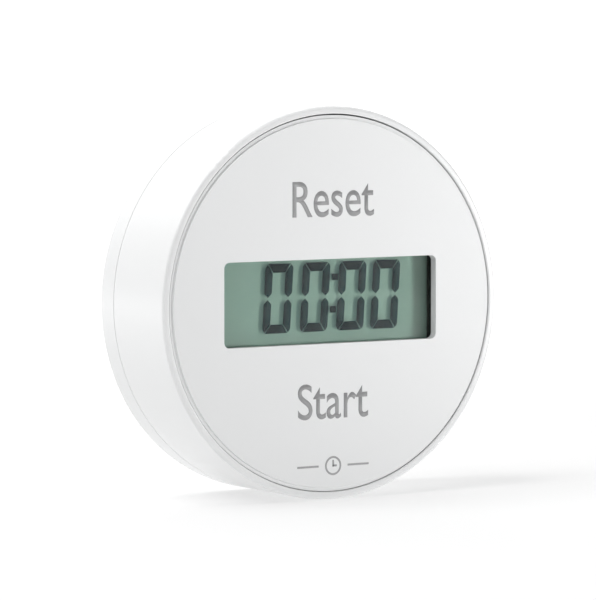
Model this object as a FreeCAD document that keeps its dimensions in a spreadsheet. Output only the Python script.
"""Round digital kitchen timer with a rotary ring, a rocking front and a magnetic back.

The timer stands upright. Its axis is Y: the magnetic back lies in the plane y = 0 and the
front faces -Y. "Depth" below is always the distance from the back plane towards the front,
so a point at depth d has y = -d. X runs to the right as seen from the front and Z is up.
"""
import FreeCAD
import Part
import Sketcher

import math
import os

Vector = FreeCAD.Vector

SIZES = {
    # outside
    "body_radius": 39.0,
    "body_depth": 24.6,
    "running_gap": 0.15,
    "join": 0.5,
    "shaft_fit": 0.05,
    # rear base
    "back_wall": 1.8,
    "band_depth": 5.3,
    "band_wall": 1.8,
    "base_edge_round": 0.6,
    "hub_radius": 33.2,
    "hub_wall": 1.6,
    "hub_shoulder": 1.6,
    "magnet_radius": 5.5,
    "magnet_thickness": 2.0,
    "magnet_offset": 17.0,
    "magnet_recess": 0.1,
    "magnet_glue_gap": 0.05,
    "boss_wall": 1.2,
    "sound_hole_radius": 0.7,
    "sound_hole_circle": 3.4,
    # battery bay
    "cell_radius": 5.25,
    "cell_length": 44.5,
    "cell_nub_radius": 2.75,
    "cell_nub_length": 0.8,
    "cell_side_gap": 0.4,
    "cell_top_gap": 0.15,
    "cell_door_gap": 0.75,
    "cell_edge_round": 0.5,
    "cell_end_gap": 0.05,
    "cell_end_room": 0.6,
    "contact_thickness": 0.3,
    "contact_half_width": 4.4,
    "contact_tail_half_width": 1.0,
    "contact_tail_above_board": 0.9,
    "contact_ceiling_gap": 0.2,
    "contact_hole_half_width": 0.35,
    "contact_hole_gap": 0.2,
    "cell_spring_length": 4.0,
    "spring_wire": 0.7,
    "spring_small_radius": 2.2,
    "spring_large_radius": 3.6,
    "spring_slack": 0.05,
    "bay_wall": 1.2,
    "door_thickness": 1.5,
    "door_overlap": 1.7,
    "door_edge_gap": 0.2,
    "door_hem": 0.15,
    "door_floor_gap": 0.1,
    "door_pin_radius": 0.5,
    "door_pin_length": 0.9,
    "door_latch_half_width": 4.0,
    "door_latch_thickness": 0.6,
    "door_latch_drop": 0.65,
    "door_latch_depth": 2.5,
    "grip_line_pitch": 1.3,
    "grip_line_depth": 0.3,
    "grip_line_half_height": 0.25,
    "grip_line_step": 0.7,
    "door_notch_share": 0.45,
    # rotary ring and its gear
    "seam_gap": 0.15,
    "ring_wall": 1.5,
    "ring_front_round": 0.7,
    "ring_inner_round": 0.25,
    "ring_flange": 1.8,
    "ring_bore_fit": 0.08,
    "gear_start": 9.9,
    "gear_width": 3.6,
    "gear_module": 0.78,
    "ring_teeth": 90.0,
    "pinion_teeth": 15.0,
    "tooth_addendum": 0.8,
    "tooth_dedendum": 1.05,
    "tooth_backlash": 0.1,
    "pressure_angle": 20.0,
    "pinion_width": 2.8,
    "encoder_angle": -50.0,
    # chassis
    "chassis_radius": 34.2,
    "chassis_plate": 1.3,
    "chassis_bay_gap": 0.3,
    "chassis_buzzer_lap": 1.5,
    "case_screw_x": 26.0,
    "case_screw_z": 11.6,
    "case_screw_radius": 1.1,
    "case_screw_length": 9.6,
    "case_head_radius": 2.1,
    "case_head_height": 1.6,
    "case_head_sink": 1.5,
    "slot_half_width": 0.3,
    "slot_half_length": 1.3,
    "slot_depth": 0.8,
    "case_boss_radius": 2.7,
    "case_boss_height": 4.6,
    "pivot_depth": 20.3,
    "pivot_radius": 1.2,
    "pivot_play": 0.12,
    "pin_end_gap": 0.2,
    "pivot_post_inner": 32.3,
    "pivot_post_thickness": 1.6,
    "pivot_post_half_width": 2.4,
    "pivot_post_cover": 1.5,
    # circuit board
    "board_radius": 33.4,
    "board_start": 14.5,
    "board_thickness": 1.2,
    "board_hole_gap": 0.3,
    "chip_x": -9.0,
    "chip_radius": 4.2,
    "chip_height": 1.2,
    "chip_round": 1.0,
    "crystal_left": 8.0,
    "crystal_right": 14.0,
    "crystal_z": 4.0,
    "crystal_radius": 1.0,
    "crystal_lift": 1.05,
    "component_half_width": 1.0,
    "component_half_height": 0.6,
    "component_height": 0.7,
    "board_screw_x": 22.0,
    "board_screw_z": 18.5,
    "board_low_screw_x": 9.5,
    "board_low_screw_z": -27.0,
    "board_screw_radius": 1.0,
    "board_screw_length": 4.0,
    "board_head_radius": 1.9,
    "board_head_height": 1.3,
    "screw_end_gap": 0.3,
    "standoff_radius": 2.3,
    # switches
    "switch_arm": 18.5,
    "switch_side": 6.0,
    "switch_height": 3.5,
    "plunger_radius": 1.7,
    "plunger_top": 1.1,
    "plunger_root": 2.2,
    "plunger_bore_floor": 0.7,
    # encoder
    "encoder_side": 8.0,
    "encoder_height": 4.2,
    "encoder_cap": 0.8,
    "shaft_radius": 1.5,
    # display
    "window_width": 49.6,
    "window_height": 16.8,
    "window_corner": 1.2,
    "window_x": -0.3,
    "window_z": 0.48,
    "lens_margin": 0.8,
    "lens_thickness": 0.5,
    "lens_gap": 0.1,
    "lens_to_display": 0.3,
    "polariser_thickness": 0.2,
    "glass_thickness": 0.7,
    "reflector_thickness": 0.3,
    "reflector_inset": 0.2,
    "glass_half_width": 28.9,
    "glass_half_height": 13.0,
    "ledge_height": 2.7,
    "polariser_half_width": 27.4,
    "polariser_half_height": 10.8,
    "holder_gap": 0.1,
    "holder_wall": 1.1,
    "holder_lip": 0.3,
    "holder_lip_reach": 1.0,
    "holder_lip_reach_high": 1.8,
    "connector_width": 2.0,
    "connector_half_length": 27.0,
    # front panel
    "panel_gap": 0.2,
    "panel_thickness": 1.8,
    "panel_inset": 0.02,
    "panel_edge_width": 0.75,
    "panel_edge_drop": 0.35,
    "panel_edge_slope": 0.15,
    "panel_drop": 0.08,
    "panel_skirt_depth": 3.8,
    "panel_skirt_wall": 1.15,
    "panel_frame_margin": 2.0,
    "lug_thickness": 1.0,
    "lug_half_width": 2.2,
    "lug_to_post": 0.5,
    "lug_tail": 1.7,
    "rib_radius": 1.6,
    "rib_gap": 0.05,
    # buzzer
    "buzzer_z": 19.5,
    "buzzer_radius": 7.5,
    "buzzer_thickness": 0.25,
    "ceramic_radius": 5.4,
    "ceramic_thickness": 0.2,
    "buzzer_seat_depth": 3.4,
    "buzzer_seat_width": 0.9,
    "buzzer_rim_height": 0.8,
    "lead_radius": 0.4,
    "lead_top_x": 1.2,
    "lead_outer_foot": 6.2,
    "lead_sway": 2.2,
    "lead_bend_share": 0.45,
}

GRIP_LINES = 3
SOUND_HOLES = 6
SPRING_TURNS = 3
TOOTH_FLANK_POINTS = 5
COMPONENTS = [(-18, 5), (-18, -4), (3, -6), (9, -1), (14, -1), (20, 5), (20, -4), (3, 6)]
PIECES = {}

doc = FreeCAD.newDocument("kitchen_timer")
sheet = doc.addObject("Spreadsheet::Sheet", "Sizes")


class Size:
    """A length with two faces: its value now, and the formula that binds it to the sheet."""

    def __init__(self, value, text):
        self.value = value
        self.text = text

    @staticmethod
    def of(other):
        if isinstance(other, Size):
            return other
        return Size(float(other), repr(float(other)))

    def joined(self, other, sign, value):
        return Size(value, f"({self.text} {sign} {Size.of(other).text})")

    def __add__(self, other):
        return self.joined(other, "+", self.value + Size.of(other).value)

    def __sub__(self, other):
        return self.joined(other, "-", self.value - Size.of(other).value)

    def __mul__(self, other):
        return self.joined(other, "*", self.value * Size.of(other).value)

    def __truediv__(self, other):
        return self.joined(other, "/", self.value / Size.of(other).value)

    def __radd__(self, other):
        return Size.of(other) + self

    def __rsub__(self, other):
        return Size.of(other) - self

    def __rmul__(self, other):
        return Size.of(other) * self

    def __neg__(self):
        return Size(-self.value, f"(0 - {self.text})")


def fill_sheet():
    """Write every driving size into the sheet and return them by name."""
    sizes = {}
    for row, (name, value) in enumerate(SIZES.items(), start=1):
        sheet.set(f"A{row}", name)
        sheet.set(f"B{row}", repr(value))
        sheet.setAlias(f"B{row}", name)
        sizes[name] = Size(value, f"Sizes.{name}")
    doc.recompute()
    return sizes


class Named:
    """The sizes as attributes, so that formulas read like sentences."""

    def __init__(self, sizes):
        self.__dict__.update(sizes)


s = Named(fill_sheet())


# ---------------------------------------------------------------- sketch outlines
def pin_point(sketch, geometry, position, x, z):
    """Hold one point of a sketch at a place given by two sizes."""
    for kind, size in (("DistanceX", Size.of(x)), ("DistanceY", Size.of(z))):
        index = sketch.addConstraint(
            Sketcher.Constraint(kind, -1, 1, geometry, position, size.value)
        )
        sketch.setExpression(f"Constraints[{index}]", size.text)


def circle(x, z, radius):
    """A circle outline."""

    def draw(sketch):
        centre = Vector(Size.of(x).value, Size.of(z).value, 0)
        shape = Part.Circle(centre, Vector(0, 0, 1), Size.of(radius).value)
        index = sketch.addGeometry(shape, False)
        pin_point(sketch, index, 3, x, z)
        held = sketch.addConstraint(
            Sketcher.Constraint("Radius", index, Size.of(radius).value)
        )
        sketch.setExpression(f"Constraints[{held}]", Size.of(radius).text)

    return draw


def polygon(points):
    """A closed outline of straight edges through the given points."""

    def draw(sketch):
        places = [Vector(Size.of(x).value, Size.of(z).value, 0) for x, z in points]
        first = sketch.GeometryCount
        for start, end in zip(places, places[1:] + places[:1]):
            sketch.addGeometry(Part.LineSegment(start, end), False)
        for i, (x, z) in enumerate(points):
            following = first + (i + 1) % len(points)
            sketch.addConstraint(Sketcher.Constraint("Coincident", first + i, 2, following, 1))
            pin_point(sketch, first + i, 1, x, z)

    return draw


def box(x, z, half_width, half_height):
    """A rectangle about a centre."""
    left, right = x - half_width, x + half_width
    low, high = z - half_height, z + half_height
    return polygon([(left, low), (right, low), (right, high), (left, high)])


def span(left, right, low, high):
    """A rectangle between four edges."""
    return polygon([(left, low), (right, low), (right, high), (left, high)])


class Solid:
    """One piece of the timer, as a PartDesign body."""

    def __init__(self, name):
        self.body = doc.addObject("PartDesign::Body", name)
        self.body.Label = name
        self.body.AllowCompound = True
        self.name = name
        self.steps = 0
        PIECES[name] = self.body

    def plane(self, role):
        for feature in self.body.Origin.OriginFeatures:
            if feature.Role == role:
                return feature
        raise RuntimeError(f"{self.name} has no plane {role}")

    def sketch(self, role, offset, outlines):
        """A sketch on one of the body's own planes, moved along its normal by offset."""
        self.steps += 1
        sketch = self.body.newObject("Sketcher::SketchObject", f"{self.name}_sketch_{self.steps}")
        sketch.AttachmentSupport = (self.plane(role), [""])
        sketch.MapMode = "FlatFace"
        place = Size.of(offset)
        sketch.AttachmentOffset = FreeCAD.Placement(
            Vector(0, 0, place.value), FreeCAD.Rotation()
        )
        sketch.setExpression("AttachmentOffset.Base.z", place.text)
        for outline in outlines:
            outline(sketch)
        sketch.Visibility = False
        return sketch

    def feature(self, kind, sketch):
        feature = self.body.newObject(f"PartDesign::{kind}", f"{self.name}_{kind}_{self.steps}")
        feature.Profile = sketch
        return feature

    def add(self, start, end, *outlines):
        """Material between two depths, inside the outlines."""
        feature = self.feature("Pad", self.sketch("XZ_Plane", start, outlines))
        length = Size.of(end) - start
        feature.Length = length.value
        feature.setExpression("Length", length.text)
        return self.made(feature, grows=True)

    def cut(self, start, end, *outlines):
        """A cut between two depths, inside the outlines."""
        feature = self.feature("Pocket", self.sketch("XZ_Plane", end, outlines))
        length = Size.of(end) - start
        feature.Length = length.value
        feature.setExpression("Length", length.text)
        return self.made(feature, grows=False)

    def turn(self, profile, kind="Revolution"):
        """A profile of (depth, radius) points, turned about the timer's axis."""
        outline = polygon([(-Size.of(depth), radius) for depth, radius in profile])
        sketch = self.sketch("YZ_Plane", 0, [outline])
        feature = self.feature(kind, sketch)
        feature.ReferenceAxis = (sketch, ["H_Axis"])
        feature.Angle = 360
        return self.made(feature, grows=kind == "Revolution")

    def along_x(self, start, end, *outlines, cut=False):
        """Material or a cut between two x places; outlines are in (depth, z)."""
        kind = "Pocket" if cut else "Pad"
        sketch = self.sketch("YZ_Plane", end if cut else start, outlines)
        feature = self.feature(kind, sketch)
        length = Size.of(end) - start
        feature.Length = length.value
        feature.setExpression("Length", length.text)
        return self.made(feature, grows=not cut)

    def fillet(self, radius, chosen):
        """Round the edges that the test picks."""
        base = self.body.Tip
        picked = [f"Edge{i}" for i, edge in enumerate(base.Shape.Edges, 1) if chosen(edge)]
        if not picked:
            raise RuntimeError(f"{self.name}: no edge to round")
        feature = self.body.newObject("PartDesign::Fillet", f"{self.name}_round_{self.steps}")
        self.steps += 1
        feature.Base = (base, picked)
        feature.Radius = Size.of(radius).value
        feature.setExpression("Radius", Size.of(radius).text)
        return self.made(feature, grows=None)

    def lower(self, distance):
        """Let the whole piece hang lower by a distance."""
        self.body.Placement.Base = Vector(0, 0, -distance.value)
        self.body.setExpression("Placement.Base.z", f"-{distance.text}")

    def made(self, feature, grows):
        """Recompute, and see that the step changed the piece the way it should."""
        base = feature.BaseFeature
        before = base.Shape.Volume if base else 0.0
        doc.recompute()
        after = feature.Shape.Volume
        self.body.Tip = feature
        if grows is True and after <= before + 1e-9:
            raise RuntimeError(f"{self.name}: {feature.Name} added nothing")
        if grows is False and after >= before - 1e-9:
            raise RuntimeError(f"{self.name}: {feature.Name} cut nothing")
        return feature


def shaped(name, shape, placement=FreeCAD.Placement()):
    """A piece whose shape comes from Part's own functions."""
    feature = doc.addObject("Part::Feature", name)
    feature.Label = name
    feature.Shape = shape
    feature.Placement = placement
    PIECES[name] = feature
    return feature


def round_edge_at(radius, depth, tolerance=0.01):
    """Picks the circular edges about the timer's axis with this radius and depth."""

    def chosen(edge):
        if not isinstance(edge.Curve, Part.Circle):
            return False
        centre = edge.Curve.Center
        on_axis = abs(centre.x) < tolerance and abs(centre.z) < tolerance
        same_radius = abs(edge.Curve.Radius - radius.value) < tolerance
        return on_axis and same_radius and abs(-centre.y - depth.value) < tolerance

    return chosen


def standing_edge_at(places, tolerance=0.02):
    """Picks straight edges parallel to the timer's axis through these (x, z) places."""

    def chosen(edge):
        if not isinstance(edge.Curve, Part.Line):
            return False
        ends = [vertex.Point for vertex in edge.Vertexes]
        if abs(ends[0].x - ends[1].x) > tolerance or abs(ends[0].z - ends[1].z) > tolerance:
            return False
        return any(
            abs(ends[0].x - x) < tolerance and abs(ends[0].z - z) < tolerance for x, z in places
        )

    return chosen


def corners(x, z, half_width, half_height):
    """The four corner places of a rectangle, as plain numbers."""
    x, z, half_width, half_height = [Size.of(v).value for v in (x, z, half_width, half_height)]
    return [(x + i * half_width, z + j * half_height) for i in (-1, 1) for j in (-1, 1)]


# ---------------------------------------------------------------- shared places
ring_rear = s.band_depth + s.seam_gap
ring_inner = s.body_radius - s.ring_wall
flange_front = ring_rear + s.ring_flange
chassis_start = flange_front + s.running_gap
chassis_top = chassis_start + s.chassis_plate
board_top = s.board_start + s.board_thickness

bay_half_width = (s.cell_length + s.cell_spring_length) / 2 + s.cell_end_room
recess_half_width = bay_half_width + s.door_overlap
bay_half_height = s.cell_radius + s.cell_side_gap
recess_half_height = bay_half_height + s.door_overlap + s.door_hem
recess_floor = s.door_thickness + s.door_floor_gap
pad_top = recess_floor + s.bay_wall
cell_depth = s.door_thickness + s.cell_door_gap + s.cell_radius
bay_ceiling = cell_depth + s.cell_radius + s.cell_top_gap
bay_top = bay_ceiling + s.bay_wall

panel_front = s.body_depth - s.panel_inset
panel_rear = panel_front - s.panel_thickness
lens_rear = panel_rear - s.lens_thickness
display_front = lens_rear - s.lens_to_display
glass_front = display_front - s.polariser_thickness
segment_depth = glass_front - s.glass_thickness
glass_rear = segment_depth - s.glass_thickness
display_z = s.window_z - s.panel_drop
holder_top = glass_front + s.holder_lip
holder_half_width = s.glass_half_width + s.holder_gap + s.holder_wall
holder_half_height = s.glass_half_height + s.holder_gap + s.holder_wall
panel_radius = ring_inner - s.panel_gap

post_outer = s.pivot_post_inner + s.pivot_post_thickness
lug_outer = s.pivot_post_inner - s.lug_to_post
lug_inner = lug_outer - s.lug_thickness

pitch_ring = s.gear_module * s.ring_teeth / 2
pitch_pinion = s.gear_module * s.pinion_teeth / 2
encoder_reach = pitch_ring - pitch_pinion
encoder_turn = math.radians(s.encoder_angle.value)
encoder_cos = Size(math.cos(encoder_turn), f"cos({s.encoder_angle.text})")
encoder_sin = Size(math.sin(encoder_turn), f"sin({s.encoder_angle.text})")
encoder_x = encoder_reach * encoder_cos
encoder_z = encoder_reach * encoder_sin

CASE_SCREWS = [(i * s.case_screw_x, j * s.case_screw_z) for i in (-1, 1) for j in (-1, 1)]
MAGNETS = [(i * s.magnet_offset, j * s.magnet_offset) for i in (-1, 1) for j in (-1, 1)]
BOARD_SCREWS = [
    (-s.board_screw_x, s.board_screw_z),
    (-s.board_screw_x, -s.board_screw_z),
    (s.board_screw_x, s.board_screw_z),
    (s.board_low_screw_x, s.board_low_screw_z),
]


# ---------------------------------------------------------------- rear base
def make_rear_base():
    """The fixed shell: back wall, visible band, hub for the ring, battery bay and bosses."""
    base = Solid("rear_base")
    shoulder = s.hub_radius + s.hub_shoulder
    base.turn(
        [
            (0, 0),
            (0, s.body_radius),
            (s.band_depth, s.body_radius),
            (s.band_depth, s.body_radius - s.band_wall),
            (s.back_wall, s.body_radius - s.band_wall),
            (s.back_wall, shoulder),
            (ring_rear - s.running_gap, shoulder),
            (ring_rear - s.running_gap, s.hub_radius),
            (flange_front, s.hub_radius),
            (flange_front, s.hub_radius - s.hub_wall),
            (s.back_wall, s.hub_radius - s.hub_wall),
            (s.back_wall, 0),
        ]
    )
    base.fillet(s.base_edge_round, round_edge_at(s.body_radius, Size.of(0)))
    bay_outer_x = bay_half_width + s.bay_wall
    bay_outer_z = bay_half_height + s.bay_wall
    base.add(
        s.back_wall - s.join,
        pad_top,
        box(0, 0, recess_half_width + s.bay_wall, recess_half_height + s.bay_wall),
    )
    base.add(pad_top - s.join, bay_top, box(0, 0, bay_outer_x, bay_outer_z))
    base.cut(0, bay_ceiling, box(0, 0, bay_half_width, bay_half_height))
    base.cut(0, recess_floor, box(0, 0, recess_half_width, recess_half_height))
    pin_depth = s.door_thickness / 2
    pin_z = -(recess_half_height - s.door_edge_gap - pin_depth)
    pin_reach = recess_half_width + s.door_pin_length
    hole = circle(-pin_depth, pin_z, s.door_pin_radius + s.shaft_fit)
    base.along_x(-pin_reach, pin_reach, hole, cut=True)
    for side in (-1, 1):
        wall = s.contact_thickness / 2
        x = side * (bay_half_width - wall)
        base.cut(
            bay_ceiling - s.join,
            bay_top,
            box(x, 0, wall + s.shaft_fit, s.contact_tail_half_width + s.shaft_fit),
        )
    pocket_radius = s.magnet_radius + s.magnet_glue_gap
    pocket_floor = s.magnet_recess + s.magnet_thickness
    for x, z in MAGNETS:
        base.add(
            s.back_wall - s.join,
            pocket_floor + s.boss_wall,
            circle(x, z, pocket_radius + s.boss_wall),
        )
        base.cut(0, pocket_floor, circle(x, z, pocket_radius))
    head_floor = s.case_head_sink + s.case_head_height
    for x, z in CASE_SCREWS:
        base.add(s.back_wall - s.join, chassis_start, circle(x, z, s.case_boss_radius))
        base.cut(0, chassis_start, circle(x, z, s.case_screw_radius + s.running_gap))
        base.cut(0, head_floor, circle(x, z, s.case_head_radius + s.running_gap))
    seat_outer = s.buzzer_radius + s.buzzer_seat_width + s.shaft_fit
    base.add(
        s.back_wall - s.join,
        s.buzzer_seat_depth + s.buzzer_rim_height,
        circle(0, s.buzzer_z, seat_outer),
        circle(0, s.buzzer_z, s.buzzer_radius - s.buzzer_seat_width),
    )
    base.cut(
        s.buzzer_seat_depth,
        s.buzzer_seat_depth + s.buzzer_rim_height,
        circle(0, s.buzzer_z, s.buzzer_radius + s.shaft_fit),
    )
    holes = [circle(0, s.buzzer_z, s.sound_hole_radius)]
    for step in range(SOUND_HOLES):
        turn = 2 * math.pi * step / SOUND_HOLES
        x = s.sound_hole_circle * math.cos(turn)
        z = s.buzzer_z + s.sound_hole_circle * math.sin(turn)
        holes.append(circle(x, z, s.sound_hole_radius))
    base.cut(0, s.back_wall, *holes)


def make_magnets():
    """Four magnet discs, each sunk just below the back face."""
    magnets = Solid("magnets")
    discs = [circle(x, z, s.magnet_radius) for x, z in MAGNETS]
    magnets.add(s.magnet_recess, s.magnet_recess + s.magnet_thickness, *discs)


def make_battery_cover():
    """The door: a plate with a rounded hinge edge, two hinge pins and a latch tongue."""
    door = Solid("battery_cover")
    pin_depth = s.door_thickness / 2
    half_width = recess_half_width - s.door_edge_gap
    high = recess_half_height - s.door_edge_gap
    pin_z = pin_depth - high
    door.add(0, s.door_thickness, span(-half_width, half_width, pin_z, high))
    door.along_x(-half_width, half_width, circle(-pin_depth, pin_z, pin_depth))
    pin_end = half_width + s.door_pin_length
    door.along_x(-pin_end, pin_end, circle(-pin_depth, pin_z, s.door_pin_radius))
    tongue_high = bay_half_height - s.door_latch_drop
    door.add(
        s.door_thickness - s.door_floor_gap,
        s.door_thickness + s.door_latch_depth,
        span(
            -s.door_latch_half_width,
            s.door_latch_half_width,
            tongue_high - s.door_latch_thickness,
            tongue_high,
        ),
    )
    notch = s.door_latch_half_width
    notch_middle = high + notch * 0.35
    door.cut(0, s.door_thickness * s.door_notch_share, circle(0, notch_middle, notch))
    for step in range(GRIP_LINES):
        z = high - notch * 1.25 - s.grip_line_pitch * step
        half_width = notch - s.grip_line_step * step
        door.cut(0, s.grip_line_depth, box(0, z, half_width, s.grip_line_half_height))


def make_battery():
    """One AAA cell, its two contact plates and the coil spring behind its flat end."""
    plus_face = bay_half_width - s.contact_thickness
    tip = plus_face - s.cell_end_gap
    shoulder = tip - s.cell_nub_length
    tail = tip - s.cell_length
    cell = Solid("battery_cell")
    cell.along_x(tail, shoulder, circle(-cell_depth, 0, s.cell_radius))
    cell.fillet(s.cell_edge_round, lambda edge: isinstance(edge.Curve, Part.Circle))
    cell.along_x(shoulder - s.join, tip, circle(-cell_depth, 0, s.cell_nub_radius))
    for name, side in (("positive_contact", 1), ("negative_contact", -1)):
        plate = Solid(name)
        wall = s.contact_thickness / 2
        x = side * (bay_half_width - wall)
        plate.add(pad_top, bay_ceiling - s.contact_ceiling_gap, box(x, 0, wall, s.contact_half_width))
        plate.add(
            bay_ceiling - s.contact_ceiling_gap - s.join,
            board_top + s.contact_tail_above_board,
            box(x, 0, wall, s.contact_tail_half_width),
        )
    make_battery_spring(-plus_face.value, tail.value)


def make_battery_spring(plate, cell_end):
    """A conical coil spring along X: its wide end on the contact plate, its narrow on the cell."""
    wire = s.spring_wire.value / 2
    wide = s.spring_large_radius.value
    narrow = s.spring_small_radius.value
    slack = s.spring_slack.value
    length = cell_end - plate - 2 * (wire + slack)
    lean = math.degrees(math.atan2(wide - narrow, length))
    path = Part.Wire(Part.makeHelix(length / SPRING_TURNS, length, narrow, lean).Edges)
    first = path.Edges[0]
    point = first.valueAt(first.FirstParameter)
    tangent = first.tangentAt(first.FirstParameter)
    section = Part.Wire([Part.makeCircle(wire, point, tangent)])
    coil = path.makePipeShell([section], True, True)
    place = Vector(cell_end - wire - slack, -cell_depth.value, 0)
    turned = FreeCAD.Rotation(Vector(0, 1, 0), -90)
    shaped("battery_spring", coil, FreeCAD.Placement(place, turned))


# ---------------------------------------------------------------- rotary ring and gears
def make_rotary_ring():
    """The outer ring that the user turns: a tube with a guide flange at its rear."""
    ring = Solid("rotary_ring")
    bore = s.hub_radius + s.ring_bore_fit
    ring.turn(
        [
            (ring_rear, bore),
            (ring_rear, s.body_radius),
            (s.body_depth, s.body_radius),
            (s.body_depth, ring_inner),
            (flange_front, ring_inner),
            (flange_front, bore),
        ]
    )
    ring.fillet(s.ring_front_round, round_edge_at(s.body_radius, s.body_depth))
    ring.fillet(s.ring_inner_round, round_edge_at(ring_inner, s.body_depth))


def involute_angle(base_radius, radius):
    """Polar angle of an involute, measured from its start on the base circle."""
    if radius <= base_radius:
        return 0.0
    unwound = math.sqrt((radius / base_radius) ** 2 - 1)
    return unwound - math.atan(unwound)


def tooth_half_angle(teeth, radius, thinning, pressure):
    """Half the angle that a tooth of an outer gear covers at this radius."""
    pitch = s.gear_module.value * teeth / 2
    base = pitch * math.cos(pressure)
    at_pitch = math.pi / (2 * teeth) - thinning / (2 * pitch)
    return at_pitch + involute_angle(base, pitch) - involute_angle(base, radius)


def gear_outline(teeth, low, high, thinning, phase, centre):
    """The toothed wire of an outer gear between two radii; an inner gear uses it as its hole."""
    pressure = math.radians(s.pressure_angle.value)
    last = TOOTH_FLANK_POINTS - 1
    radii = [low + (high - low) * i / last for i in range(TOOTH_FLANK_POINTS)]
    points = []
    for tooth in range(teeth):
        middle = phase + 2 * math.pi * tooth / teeth
        rising = [(r, middle - tooth_half_angle(teeth, r, thinning, pressure)) for r in radii]
        falling = [(r, 2 * middle - angle) for r, angle in reversed(rising)]
        for radius, angle in rising + falling:
            x = centre[0] + radius * math.cos(angle)
            z = centre[1] + radius * math.sin(angle)
            points.append((x, z))
    return points


def wire_at(points, depth):
    """A closed wire through (x, z) points at one depth."""
    places = [Vector(x, -depth, z) for x, z in points]
    return Part.makePolygon(places + places[:1])


def make_gears():
    """The inner gear inside the ring, and the encoder pinion that meshes with it."""
    addendum = s.tooth_addendum.value * s.gear_module.value
    dedendum = s.tooth_dedendum.value * s.gear_module.value
    ring_teeth = round(s.ring_teeth.value)
    pinion_teeth = round(s.pinion_teeth.value)
    start = s.gear_start.value
    # The gap of the inner gear is the tooth of an outer gear with the same teeth, widened
    # by half the backlash. One gap is centred on the line to the pinion.
    gap = gear_outline(
        ring_teeth,
        pitch_ring.value - addendum,
        pitch_ring.value + dedendum,
        -s.tooth_backlash.value / 2,
        encoder_turn,
        (0.0, 0.0),
    )
    centre = Vector(0, -start, 0)
    rim = Part.Wire([Part.makeCircle(ring_inner.value, centre, Vector(0, 1, 0))])
    face = Part.Face(rim).cut(Part.Face(wire_at(gap, start)))
    shaped("ring_gear", face.extrude(Vector(0, -s.gear_width.value, 0)))

    middle = (encoder_x.value, encoder_z.value)
    tooth = gear_outline(
        pinion_teeth,
        pitch_pinion.value - dedendum,
        pitch_pinion.value + addendum,
        s.tooth_backlash.value / 2,
        encoder_turn,
        middle,
    )
    pinion_start = start + (s.gear_width.value - s.pinion_width.value) / 2
    face = Part.Face(wire_at(tooth, pinion_start))
    pinion = face.extrude(Vector(0, -s.pinion_width.value, 0))
    bore = Part.makeCylinder(
        s.shaft_radius.value,
        s.pinion_width.value,
        Vector(middle[0], -pinion_start, middle[1]),
        Vector(0, -1, 0),
    )
    shaped("encoder_pinion", pinion.cut(bore).removeSplitter())


def make_encoder():
    """The rotary encoder on the board: a square case, and the shaft that carries the pinion."""
    case = Solid("encoder_body")
    half = s.encoder_side / 2
    outline = []
    for i, j in ((-1, -1), (1, -1), (1, 1), (-1, 1)):
        x = encoder_x + half * i * encoder_cos - half * j * encoder_sin
        z = encoder_z + half * i * encoder_sin + half * j * encoder_cos
        outline.append((x, z))
    case.add(board_top, board_top + s.encoder_height, polygon(outline))
    bore_end = board_top + s.encoder_height - s.encoder_cap
    case.cut(board_top, bore_end, circle(encoder_x, encoder_z, s.shaft_radius + s.shaft_fit))
    shaft = Solid("encoder_shaft")
    shaft_start = s.gear_start + (s.gear_width - s.pinion_width) / 2
    shaft.add(shaft_start, bore_end - s.shaft_fit, circle(encoder_x, encoder_z, s.shaft_radius))


# ---------------------------------------------------------------- chassis and screws
def make_chassis():
    """The inner frame: it keeps the ring in place and carries the board and the pivots."""
    chassis = Solid("chassis")
    bay_room_x = bay_half_width + s.bay_wall + s.chassis_bay_gap
    bay_room_z = bay_half_height + s.bay_wall + s.chassis_bay_gap
    chassis.add(
        chassis_start,
        chassis_top,
        circle(0, 0, s.chassis_radius),
        box(0, 0, bay_room_x, bay_room_z),
        circle(0, s.buzzer_z, s.buzzer_radius - s.chassis_buzzer_lap),
    )
    for x, z in CASE_SCREWS:
        chassis.add(
            chassis_top - s.join, chassis_top + s.case_boss_height, circle(x, z, s.case_boss_radius)
        )
        chassis.cut(
            chassis_start, chassis_top + s.case_boss_height, circle(x, z, s.case_screw_radius)
        )
    for x, z in BOARD_SCREWS:
        chassis.add(chassis_top - s.join, s.board_start, circle(x, z, s.standoff_radius))
        chassis.cut(
            s.board_start - s.board_screw_length,
            s.board_start,
            circle(x, z, s.board_screw_radius),
        )
    top = s.pivot_depth + s.pivot_post_cover
    half = s.pivot_post_half_width
    chassis.add(
        chassis_top - s.join,
        top,
        span(s.pivot_post_inner, post_outer, -half, half),
        span(-post_outer, -s.pivot_post_inner, -half, half),
    )
    hole = circle(-s.pivot_depth, 0, s.pivot_radius + s.pivot_play)
    chassis.along_x(-post_outer, post_outer, hole, cut=True)


def make_screws():
    """The case screws, from the back, and the board screws, from the front."""
    case = Solid("case_screws")
    head_end = s.case_head_sink + s.case_head_height
    heads = [circle(x, z, s.case_head_radius) for x, z in CASE_SCREWS]
    shanks = [circle(x, z, s.case_screw_radius) for x, z in CASE_SCREWS]
    case.add(s.case_head_sink, head_end, *heads)
    case.add(head_end - s.screw_end_gap, head_end + s.case_screw_length, *shanks)
    for x, z in CASE_SCREWS:
        for across, up in (
            (s.slot_half_width, s.slot_half_length),
            (s.slot_half_length, s.slot_half_width),
        ):
            case.cut(s.case_head_sink, s.case_head_sink + s.slot_depth, box(x, z, across, up))
    board = Solid("board_screws")
    heads = [circle(x, z, s.board_head_radius) for x, z in BOARD_SCREWS]
    shanks = [circle(x, z, s.board_screw_radius) for x, z in BOARD_SCREWS]
    board.add(board_top, board_top + s.board_head_height, *heads)
    screw_end = s.board_start - s.board_screw_length + s.screw_end_gap
    board.add(screw_end, board_top + s.screw_end_gap, *shanks)


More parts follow.
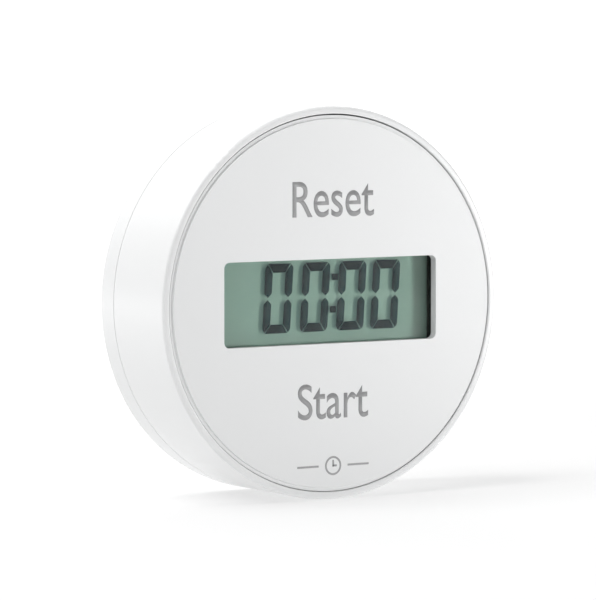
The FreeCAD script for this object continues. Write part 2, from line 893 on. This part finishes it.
# ---------------------------------------------------------------- circuit board
def make_circuit_board():
    """The round board, notched for the pivot posts and holed for shaft, screws and contacts."""
    board = Solid("circuit_board")
    board.add(s.board_start, board_top, circle(0, 0, s.board_radius))
    notch_inner = s.pivot_post_inner - s.board_hole_gap
    notch_half = s.pivot_post_half_width + s.board_hole_gap
    reach = s.board_radius + s.join
    board.cut(
        s.board_start,
        board_top,
        span(notch_inner, reach, -notch_half, notch_half),
        span(-reach, -notch_inner, -notch_half, notch_half),
    )
    holes = [circle(x, z, s.board_screw_radius + s.shaft_fit) for x, z in BOARD_SCREWS]
    holes.append(circle(encoder_x, encoder_z, s.shaft_radius + s.board_hole_gap))
    for side in (-1, 1):
        x = side * (bay_half_width - s.contact_thickness / 2)
        hole_height = s.contact_tail_half_width + s.contact_hole_gap
        holes.append(box(x, 0, s.contact_hole_half_width, hole_height))
    board.cut(s.board_start, board_top, *holes)

    chip_top = board_top + s.chip_height
    blob = Solid("controller_chip")
    blob.add(board_top, chip_top, circle(s.chip_x, display_z, s.chip_radius))
    blob.fillet(s.chip_round, lambda edge: abs(edge.BoundBox.YMin + chip_top.value) < 0.01)

    crystal = Solid("crystal")
    can = circle(-(board_top + s.crystal_lift), s.crystal_z, s.crystal_radius)
    crystal.along_x(s.crystal_left, s.crystal_right, can)

    small = Solid("chip_components")
    outlines = [
        box(Size.of(x), Size.of(z), s.component_half_width, s.component_half_height)
        for x, z in COMPONENTS
    ]
    small.add(board_top, board_top + s.component_height, *outlines)


def make_switch(prefix, side):
    """One push switch: a square case on the board and the plunger that the panel presses."""
    z = side * s.switch_arm
    half = s.switch_side / 2
    top = board_top + s.switch_height
    floor = board_top + s.plunger_bore_floor
    case = Solid(f"{prefix}_switch_body")
    case.add(board_top, top, box(0, z, half, half))
    case.cut(floor, top, circle(0, z, s.plunger_radius + s.shaft_fit))
    plunger = Solid(f"{prefix}_switch_plunger")
    plunger.add(top - s.plunger_root, top + s.plunger_top, circle(0, z, s.plunger_radius))


# ---------------------------------------------------------------- display
def make_display():
    """The liquid crystal cell, its holder and the elastic strips that connect it."""
    middle = display_z
    holder = Solid("display_holder")
    inner_x = s.glass_half_width + s.holder_gap
    inner_z = s.glass_half_height + s.holder_gap
    holder.add(
        board_top,
        glass_front,
        box(0, middle, holder_half_width, holder_half_height),
        box(0, middle, inner_x, inner_z),
    )
    holder.add(
        glass_front,
        holder_top,
        box(0, middle, holder_half_width, holder_half_height),
        box(
            0,
            middle,
            s.glass_half_width - s.holder_lip_reach,
            s.glass_half_height - s.holder_lip_reach_high,
        ),
    )
    rear_half_height = s.glass_half_height - s.ledge_height
    layers = [
        ("display_polariser", glass_front, display_front, s.polariser_half_width,
         s.polariser_half_height),
        ("display_front_glass", segment_depth, glass_front, s.glass_half_width,
         s.glass_half_height),
        ("display_rear_glass", glass_rear, segment_depth, s.glass_half_width,
         rear_half_height),
        ("display_reflector", glass_rear - s.reflector_thickness, glass_rear,
         s.polariser_half_width, rear_half_height - s.reflector_inset),
    ]
    for name, start, end, half_width, half_height in layers:
        Solid(name).add(start, end, box(0, middle, half_width, half_height))
    strips = Solid("display_connectors")
    centre = s.glass_half_height - s.ledge_height / 2
    half = s.connector_width / 2
    strips.add(
        board_top,
        segment_depth,
        box(0, middle + centre, s.connector_half_length, half),
        box(0, middle - centre, s.connector_half_length, half),
    )


def make_display_lens():
    """The clear plate bonded behind the panel's window."""
    lens = Solid("display_lens")
    half_width = s.window_width / 2 + s.lens_margin
    half_height = s.window_height / 2 + s.lens_margin
    lens.add(lens_rear, panel_rear, box(s.window_x, s.window_z, half_width, half_height))
    lens.lower(s.panel_drop)


# ---------------------------------------------------------------- front panel
def make_front_panel():
    """The rocking face: a disc with a skirt, the window, two pivot lugs and two push ribs."""
    panel = Solid("front_panel")
    skirt_rear = panel_front - s.panel_skirt_depth
    shelf = panel_front - s.panel_edge_drop
    panel.turn(
        [
            (panel_front, 0),
            (panel_front, panel_radius - s.panel_edge_width),
            (shelf, panel_radius - s.panel_edge_width + s.panel_edge_slope),
            (shelf, panel_radius),
            (skirt_rear, panel_radius),
            (skirt_rear, panel_radius - s.panel_skirt_wall),
            (panel_rear, panel_radius - s.panel_skirt_wall),
            (panel_rear, 0),
        ]
    )
    rebate_x = s.window_width / 2 + s.lens_margin + s.lens_gap
    rebate_z = s.window_height / 2 + s.lens_margin + s.lens_gap
    frame_x = s.window_width / 2 + s.panel_frame_margin
    frame_z = s.window_height / 2 + s.panel_frame_margin
    panel.add(lens_rear, panel_rear + s.join, box(s.window_x, s.window_z, frame_x, frame_z))
    half_width = s.window_width / 2
    half_height = s.window_height / 2
    panel.cut(lens_rear, panel_front, box(s.window_x, s.window_z, half_width, half_height))
    places = corners(s.window_x, s.window_z, half_width, half_height)
    panel.fillet(s.window_corner, standing_edge_at(places))
    half = s.lug_half_width
    lug_rear = s.pivot_depth - s.lug_tail
    panel.add(
        lug_rear,
        panel_rear + s.join,
        span(lug_inner, lug_outer, -half, half),
        span(-lug_outer, -lug_inner, -half, half),
    )
    panel.cut(lens_rear, panel_rear, box(s.window_x, s.window_z, rebate_x, rebate_z))
    pin_end = post_outer - s.pin_end_gap
    pin = circle(-s.pivot_depth, 0, s.pivot_radius)
    panel.along_x(lug_outer - s.join, pin_end, pin)
    panel.along_x(-pin_end, -(lug_outer - s.join), pin)
    rib_rear = board_top + s.switch_height + s.plunger_top + s.rib_gap
    panel.add(
        rib_rear,
        panel_rear + s.join,
        circle(0, s.switch_arm, s.rib_radius),
        circle(0, -s.switch_arm, s.rib_radius),
    )
    panel.lower(s.panel_drop)


# ---------------------------------------------------------------- buzzer
def make_buzzer():
    """The piezo disc on its seat, the ceramic on the disc and the two leads to the board."""
    disc_top = s.buzzer_seat_depth + s.buzzer_thickness
    disc = Solid("buzzer_disc")
    disc.add(s.buzzer_seat_depth, disc_top, circle(0, s.buzzer_z, s.buzzer_radius))
    ceramic = Solid("buzzer_ceramic")
    ceramic_top = disc_top + s.ceramic_thickness
    ceramic.add(disc_top, ceramic_top, circle(0, s.buzzer_z, s.ceramic_radius))
    start = ceramic_top.value
    end = s.board_start.value
    wires = []
    top_x = s.lead_top_x.value
    feet = ((-top_x, -top_x, start), (top_x, s.lead_outer_foot.value, disc_top.value))
    for x, foot, level in feet:
        wires.append(bent_lead(foot, x, level, end))
    shaped("buzzer_leads", Part.makeCompound(wires))


def bent_lead(foot_x, top_x, start, end):
    """One thin lead that rises from the buzzer to the board, with a gentle double bend."""
    radius = s.lead_radius.value
    height = s.buzzer_z.value
    sway = s.lead_sway.value
    rise = (end - start) / 4
    corner_points = [
        Vector(foot_x, -start, height),
        Vector(foot_x, -(start + rise), height),
        Vector(top_x, -(start + 3 * rise), height - sway),
        Vector(top_x, -end, height - sway),
    ]
    share = s.lead_bend_share.value
    edges = []
    previous = corner_points[0]
    for before, corner, after in zip(corner_points, corner_points[1:], corner_points[2:]):
        incoming = (corner - before).normalize()
        outgoing = (after - corner).normalize()
        reach = share * min(corner.distanceToPoint(before), corner.distanceToPoint(after))
        enter = corner - incoming * reach
        leave = corner + outgoing * reach
        middle = circle_middle(enter, corner, leave)
        edges.append(Part.LineSegment(previous, enter).toShape())
        edges.append(Part.Arc(enter, middle, leave).toShape())
        previous = leave
    edges.append(Part.LineSegment(previous, corner_points[-1]).toShape())
    path = Part.Wire(edges)
    section = Part.Wire([Part.makeCircle(radius, corner_points[0], Vector(0, -1, 0))])
    return path.makePipeShell([section], True, False)


def circle_middle(enter, corner, leave):
    """The middle of the arc that is tangent to both legs of a corner at enter and leave."""
    chord_middle = (enter + leave) * 0.5
    towards = corner - chord_middle
    half_chord = enter.distanceToPoint(leave) / 2
    leg = corner.distanceToPoint(enter)
    half_turn = math.acos(min(1.0, half_chord / leg))
    radius = half_chord / math.sin(half_turn)
    sagitta = radius * (1 - math.cos(half_turn))
    return chord_middle + towards.normalize() * sagitta


# ---------------------------------------------------------------- build, check and write
make_rear_base()
make_magnets()
make_battery_cover()
make_battery()
make_rotary_ring()
make_gears()
make_encoder()
make_chassis()
make_screws()
make_circuit_board()
make_switch("reset", 1)
make_switch("start", -1)
make_display()
make_display_lens()
make_front_panel()
make_buzzer()

doc.recompute()
for item in doc.Objects:
    if "Invalid" in item.State or "Error" in item.State:
        raise RuntimeError(f"{item.Name} is {item.State}")
for name, piece in PIECES.items():
    if piece.Shape.isNull() or not piece.Shape.isValid():
        raise RuntimeError(f"{name} has no valid shape")
    if not piece.Shape.Solids:
        raise RuntimeError(f"{name} has no solid")

os.makedirs("parts", exist_ok=True)
for name, piece in PIECES.items():
    piece.Shape.exportStep(f"parts/{name}.step")
    print(name, len(piece.Shape.Solids), round(piece.Shape.Volume, 2))
